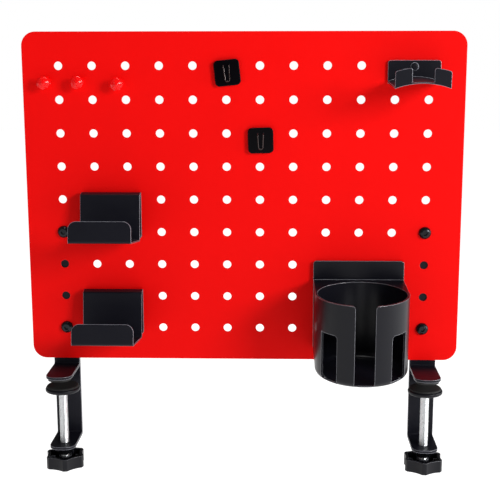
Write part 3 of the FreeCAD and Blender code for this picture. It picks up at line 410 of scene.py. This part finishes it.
# %% [markdown]
# ## A grid of points becomes a surface
# Turned, threaded and moulded parts are all surfaces over two parameters: once round, and
# once along. We work the whole grid out as one array and hand it to the mesh in one go. The
# same function closes the ends with a fan when the first or last ring has shrunk to a point.

# %% Grid surfaces


def grid_mesh(name, points, finish):
    """points[i, j] is ring i, place j round the ring; rings are closed, and quads join them.

    A ring that shrinks to one point is kept as a single vertex, so that poles are closed.
    The volume, a sixth of the sum of a . (b x c) over all triangles, has to be positive, or
    every face is turned over to point outwards.
    """
    rings, around = points.shape[:2]
    flat = points.reshape(-1, 3)
    index = np.arange(rings * around).reshape(rings, around)
    shrunk = np.ptp(points, axis=1).max(axis=1) < 1e-7
    index[shrunk] = index[shrunk][:, :1]
    used, inverse = np.unique(index, return_inverse=True)
    index = inverse.reshape(rings, around)
    after = np.roll(index, -1, axis=1)
    quads = np.stack([index[:-1], after[:-1], after[1:], index[1:]], axis=-1).reshape(-1, 4)
    faces = []
    for quad in quads.tolist():
        corners = list(dict.fromkeys(quad))
        if len(corners) > 2:
            faces.append(corners)
    corner = flat[used]
    fans = [(face[0], face[k], face[k + 1]) for face in faces for k in range(1, len(face) - 1)]
    a, b, c = (corner[list(column)] for column in zip(*fans))
    if np.einsum("ij,ij->", a, np.cross(b, c)) < 0:
        faces = [face[::-1] for face in faces]
    mesh = bpy.data.meshes.new(name)
    mesh.from_pydata(corner.tolist(), [], faces)
    mesh.update()
    mesh.materials.append(finish)
    piece = bpy.data.objects.new(name, mesh)
    bpy.context.scene.collection.objects.link(piece)
    return piece


def smooth_by_angle(piece, degrees=35):
    """Shade smooth, but keep edges that turn by more than the angle sharp."""
    mesh = piece.data
    mesh.shade_smooth()
    mesh.set_sharp_from_angle(angle=math.radians(degrees))


def rounded(profile, radii, steps=6):
    """A profile of straight runs with each inner corner replaced by an arc of its own radius.

    Each arc is drawn as a quadratic curve between the tangent points: (1-t)^2 a + 2t(1-t) b + t^2 c.
    """
    profile = np.asarray(profile, float)
    points = [profile[0]]
    t = np.linspace(0, 1, steps + 1)[:, None]
    for before, corner, ahead, radius in zip(profile, profile[1:], profile[2:], radii):
        if radius <= 0:
            points.append(corner)
            continue
        back, on = before - corner, ahead - corner
        reach_back = min(radius, 0.45 * np.linalg.norm(back))
        reach_on = min(radius, 0.45 * np.linalg.norm(on))
        a = corner + back / np.linalg.norm(back) * reach_back
        c = corner + on / np.linalg.norm(on) * reach_on
        points.extend((1 - t) ** 2 * a + 2 * t * (1 - t) * corner + t**2 * c)
    points.append(profile[-1])
    return np.array(points)


print("grid surfaces ready")

# %% [markdown]
# ## Clamp screws
# A clamp screw is rolled M10 bar: sixty-degree ridges, 1.5 mm from crest to crest, that wind
# up the whole rod. A helix as a height field over angle and length gives it: the radius
# falls from the crest to the root and back as the phase, height over pitch less the turn,
# goes round once. The neck and the peened end stay plain and are rings on the same grid.

# %% Threaded clamp screws
PITCH = 1.5
THREAD_DEPTH = 0.5
CREST_RADIUS = 4.95
NECK_RADIUS = 3.5
PEEN_RADIUS = 5.0
PEEN_RISE = 1.3
CHAMFER = 0.4
DISC_GAP = 0.2
ROD_SIDES = 48
STEPS_PER_TURN = 7


def thread_radius(height, angle, foot, top):
    """Crest radius less a clipped triangle wave of the phase, faded over one pitch at both ends."""
    phase = (height / PITCH - angle / (2 * np.pi)) % 1
    groove = np.clip(1.9 * (1 - np.abs(2 * phase - 1)) - 0.8, 0, 1)
    fade = np.clip((height - foot) / PITCH, 0, 1) * np.clip((top - height) / PITCH, 0, 1)
    return CREST_RADIUS - THREAD_DEPTH * groove * fade


def clamp_screw(side):
    """The rod of one clamp, in place on its axis, from inside the knob up to its peened end."""
    low, high = (np.array(corner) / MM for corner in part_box(f"{side}_clamp_screw"))
    disc_low, disc_high = (np.array(corner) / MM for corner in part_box(f"{side}_pressure_disc"))
    middle = (low + high) / 2
    shoulder = disc_low[2] - DISC_GAP
    angle = np.linspace(0, 2 * np.pi, ROD_SIDES, endpoint=False)
    heights = np.arange(low[2] + 1, shoulder - CHAMFER, PITCH / STEPS_PER_TURN)
    height, turn = np.meshgrid(heights, angle, indexing="ij")
    radius = thread_radius(height, turn, heights[0] + 1, heights[-1] - 1)
    body = np.stack([radius * np.cos(turn), radius * np.sin(turn), height], axis=-1)

    def rings(profile):
        """Each (radius, height) of the profile carried once round the axis."""
        r, z = np.asarray(profile, float).T
        spread = np.stack([np.outer(r, np.cos(angle)), np.outer(r, np.sin(angle))], axis=-1)
        level = np.repeat(z[:, None, None], ROD_SIDES, axis=1)
        return np.concatenate([spread, level], axis=-1)

    foot = rings([(0, low[2]), (CREST_RADIUS - 1, low[2])])
    neck_top = disc_high[2] - PEEN_RISE
    end = rings(
        [
            (CREST_RADIUS - 0.3, shoulder),
            (NECK_RADIUS, shoulder),
            (NECK_RADIUS, neck_top),
            (PEEN_RADIUS, neck_top),
            (PEEN_RADIUS, high[2] - CHAMFER),
            (PEEN_RADIUS - 0.5, high[2]),
            (0, high[2]),
        ]
    )
    points = np.concatenate([foot, body, end]) + np.array([middle[0], middle[1], 0])
    piece = grid_mesh(f"{side}_threaded_rod", points * MM, zinc)
    smooth_by_angle(piece, 50)
    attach(piece, f"{side}_screw")
    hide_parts(f"{side}_clamp_screw")
    return piece


for side in ("left", "right"):
    rod = clamp_screw(side)
    print(rod.name, len(rod.data.polygons), "faces")

# %% [markdown]
# ## Push pins
# The pins are small turned diabolos: a broad foot with a bore for the magnet, a waist for two
# fingers and a domed head with two fine steps, which catch the light as arcs. They are surfaces
# of revolution, so one smooth profile, a radius against the distance from the board, carried
# round its axis gives the whole pin. The steps are counted inwards from the head's radius and
# down from the tip.

# %% Push pins
WAIST_RADIUS = 4.0
BORE_RADIUS = 4.05
BORE_DEPTH = 2.0
PIN_SIDES = 56


def push_pin(number):
    """Revolve the rounded profile about the pin's own axis, which points out of the board."""
    low, high = (np.array(corner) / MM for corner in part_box(f"push_pin_{number}_body"))
    centre = (low + high) / 2
    back = high[1]
    head = (high[0] - low[0]) / 2
    length = high[1] - low[1]
    profile = [
        (BORE_RADIUS, BORE_DEPTH),
        (BORE_RADIUS, 0.0),
        (head - 0.9, 0.0),
        (head - 0.7, 1.6),
        (head - 2.2, 3.4),
        (WAIST_RADIUS, 5.6),
        (WAIST_RADIUS, length - 6.2),
        (head - 1.6, length - 5.2),
        (head, length - 4.4),
        (head - 0.5, length - 3.0),
        (head - 2.2, length - 1.8),
        (head - 2.5, length - 2.0),
        (head - 4.2, length - 0.9),
        (head - 4.5, length - 1.0),
        (head - 6.0, length - 0.2),
        (0.0, length),
    ]
    radii = [0.1, 0.3, 1.0, 1.6, 2.4, 2.4, 1.0, 1.0, 1.2, 0.25, 0.25, 0.25, 0.25, 0.8]
    line = rounded(profile, radii)
    line = np.vstack([[0.0, BORE_DEPTH], line])
    angle = np.linspace(0, 2 * np.pi, PIN_SIDES, endpoint=False)
    radius, out = line[:, :1], np.repeat(line[:, 1:], len(angle), axis=1)
    points = np.stack([radius * np.cos(angle), -out, radius * np.sin(angle)], axis=-1)
    points += np.array([centre[0], back, centre[2]])
    piece = grid_mesh(f"turned_pin_{number}", points * MM, pin_acrylic)
    smooth_by_angle(piece, 60)
    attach(piece, f"pin_{number}")
    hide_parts(f"push_pin_{number}_body")
    return piece


for number in (1, 2, 3):
    pin = push_pin(number)
    print(pin.name, len(pin.data.polygons), "faces")

# %% [markdown]
# ## Floor, light and camera
# A plain pale floor sits just below the lowest reach of the clamp screws. One large soft light
# stands on the right, as a window would, a weak one fills from the left, and two more, from
# above and from the side, draw the edges. The floor is a light table: it glows by itself, so that shadows
# on it stay faint and it runs into the background without a seam. The background is white to
# the camera but sends little light itself, or the black pieces would turn grey.

# %% Floor
FLOOR_LEVEL = -0.172
floor_half = 6.0
corners = floor_half * np.array([(-1, -1), (1, -1), (1, 1), (-1, 1)])
floor_mesh = bpy.data.meshes.new("studio_floor")
floor_mesh.from_pydata([(x, y, FLOOR_LEVEL) for x, y in corners], [], [(0, 1, 2, 3)])
floor = bpy.data.objects.new("studio_floor", floor_mesh)
bpy.context.scene.collection.objects.link(floor)
floor_paint, _, _, _ = new_finish(
    "studio_floor_paint",
    "#8c8c8c",
    Roughness=1.0,
    Specular_IOR_Level=0.0,
    Emission_Color=linear("#ffffff"),
    Emission_Strength=1.0,
)
floor_mesh.materials.append(floor_paint)
print("floor at", FLOOR_LEVEL)

# %% Lights and background


def soft_light(name, place, target, size, watts):
    """A square area light at place, aimed at target."""
    lamp = bpy.data.lights.new(name, "AREA")
    lamp.size = size
    lamp.energy = watts
    holder = bpy.data.objects.new(name, lamp)
    aim = Vector(target) - Vector(place)
    holder.matrix_world = Matrix.Translation(place) @ aim.to_track_quat("-Z", "Y").to_matrix().to_4x4()
    bpy.context.scene.collection.objects.link(holder)
    return holder


board_middle = (0.0, 0.0, 0.2)
soft_light("key_light", (1.45, -1.3, 0.8), board_middle, size=0.6, watts=28)
soft_light("fill_light", (-1.6, -1.6, 0.7), board_middle, size=1.2, watts=2)
soft_light("top_strip", (0.1, 0.1, 1.6), board_middle, size=0.8, watts=14)
soft_light("side_panel", (1.7, -0.2, 0.35), board_middle, size=0.9, watts=14)

world = bpy.data.worlds.new("studio_white")
bpy.context.scene.world = world
world.use_nodes = True
sky = world.node_tree
sky.nodes.clear()
seen = add(sky, "ShaderNodeBackground", {"Color": linear("#ffffff"), "Strength": 1.0})
cast = add(sky, "ShaderNodeBackground", {"Color": linear("#ffffff"), "Strength": 0.1})
path = add(sky, "ShaderNodeLightPath", {})
mixed = add(
    sky,
    "ShaderNodeMixShader",
    {0: path.outputs["Is Camera Ray"], 1: cast.outputs["Background"], 2: seen.outputs["Background"]},
)
add(sky, "ShaderNodeOutputWorld", {"Surface": mixed.outputs["Shader"]})
bpy.context.scene.view_settings.view_transform = "Standard"
print("four soft lights")

# %% Camera
camera_place = Vector((0.0415, -1.1886, 0.3706))
camera_target = Vector((0.0077, -0.0105, 0.1459))
camera_roll = -0.0015
camera_data = bpy.data.cameras.new("camera")
camera_data.lens = 74.8
camera_data.sensor_width = 36.0
camera = bpy.data.objects.new("camera", camera_data)
turned = (camera_target - camera_place).to_track_quat("-Z", "Y").to_matrix().to_4x4()
turned = turned @ Matrix.Rotation(camera_roll, 4, "Z")
camera.matrix_world = Matrix.Translation(camera_place) @ turned
bpy.context.scene.collection.objects.link(camera)
bpy.context.scene.camera = camera
print("camera", round((camera_target - camera_place).length, 3), "m away")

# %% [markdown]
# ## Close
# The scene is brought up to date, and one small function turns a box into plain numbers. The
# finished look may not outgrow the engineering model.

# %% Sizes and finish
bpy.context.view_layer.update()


def plain(box):
    """A box as nested lists of plain numbers."""
    return [[float(value) for value in corner] for corner in box]
